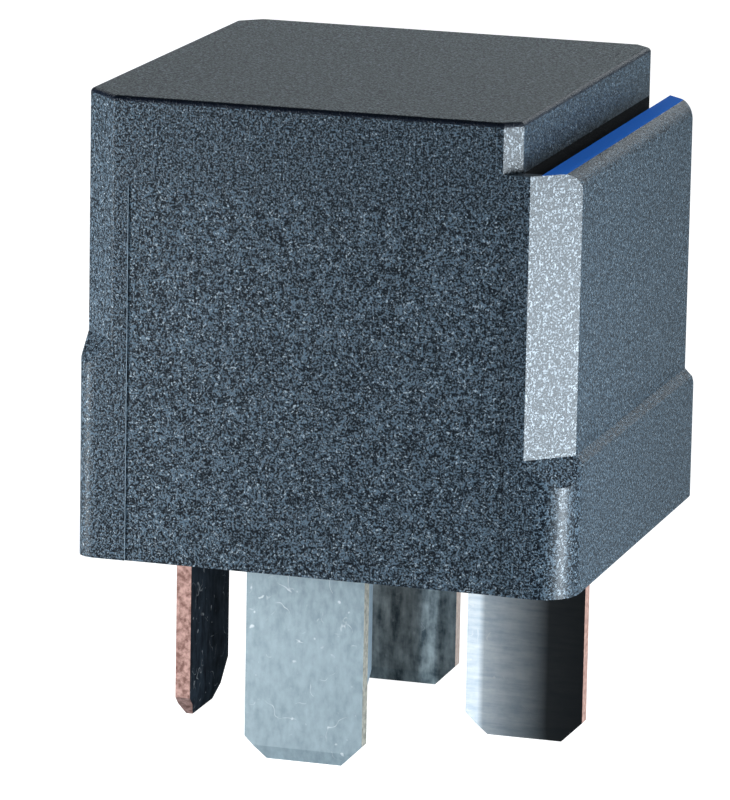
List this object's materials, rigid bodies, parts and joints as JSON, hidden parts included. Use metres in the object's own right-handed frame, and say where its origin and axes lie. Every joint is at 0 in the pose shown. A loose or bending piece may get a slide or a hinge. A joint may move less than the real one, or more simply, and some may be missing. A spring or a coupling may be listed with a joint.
{
  "type": "plug-in relay",
  "caption": "Closed plug-in changeover relay: square moulded cover with a bracket slot, five flat blades, and a coil with a hinged armature inside.",
  "frame": {"origin": "middle of the cover's rim, the plane that seats on the socket", "axes": "+Z from the blades up to the roof; +X from blade 87 towards blade 30 and the bracket slot; +Y from blade 86 to blade 85"},
  "size_m": [0.026, 0.026, 0.0347],
  "materials": {
    "cover_plastic": "matt, fine spark-eroded grain",
    "base_plastic": "matt",
    "tinned_brass": "dull tin plating, drawn grain",
    "bare_copper": "dull, slightly tarnished",
    "plated_iron": "zinc plated",
    "bobbin_plastic": "natural",
    "enamelled_wire": "enamelled copper",
    "spring_bronze": "rolled",
    "rivet_steel": "plated",
    "silver": "satin",
    "resistor_lacquer": "lacquered ceramic",
    "tinned_wire": "tinned"
  },
  "bodies": {
    "relay": {"cover": "cover_plastic", "base_plate": "base_plastic", "terminal_86": "tinned_brass", "terminal_85": "tinned_brass", "terminal_30": "tinned_brass", "terminal_87": "bare_copper", "terminal_87a": "tinned_brass", "yoke": "plated_iron", "core": "plated_iron", "bobbin": "bobbin_plastic", "winding": "enamelled_wire", "contact_87": "silver", "contact_87a": "silver", "hinge_leg": "spring_bronze", "yoke_rivets": "rivet_steel", "resistor": "resistor_lacquer", "resistor_leads": "tinned_wire", "coil_leads": "enamelled_wire"},
    "armature": {"armature": "plated_iron", "contact_spring": "spring_bronze", "armature_rivets": "rivet_steel", "moving_contact": "silver"}
  },
  "joints": [
    {"name": "armature_hinge", "type": "hinge", "parent": "relay", "child": "armature", "pos_m": [0.008, 0, 0.01775], "axis": [0, -1, 0], "range_deg": [0, 3.7], "stiffness_Nm_per_rad": 0.045, "springref_deg": -6.3}
  ]
}
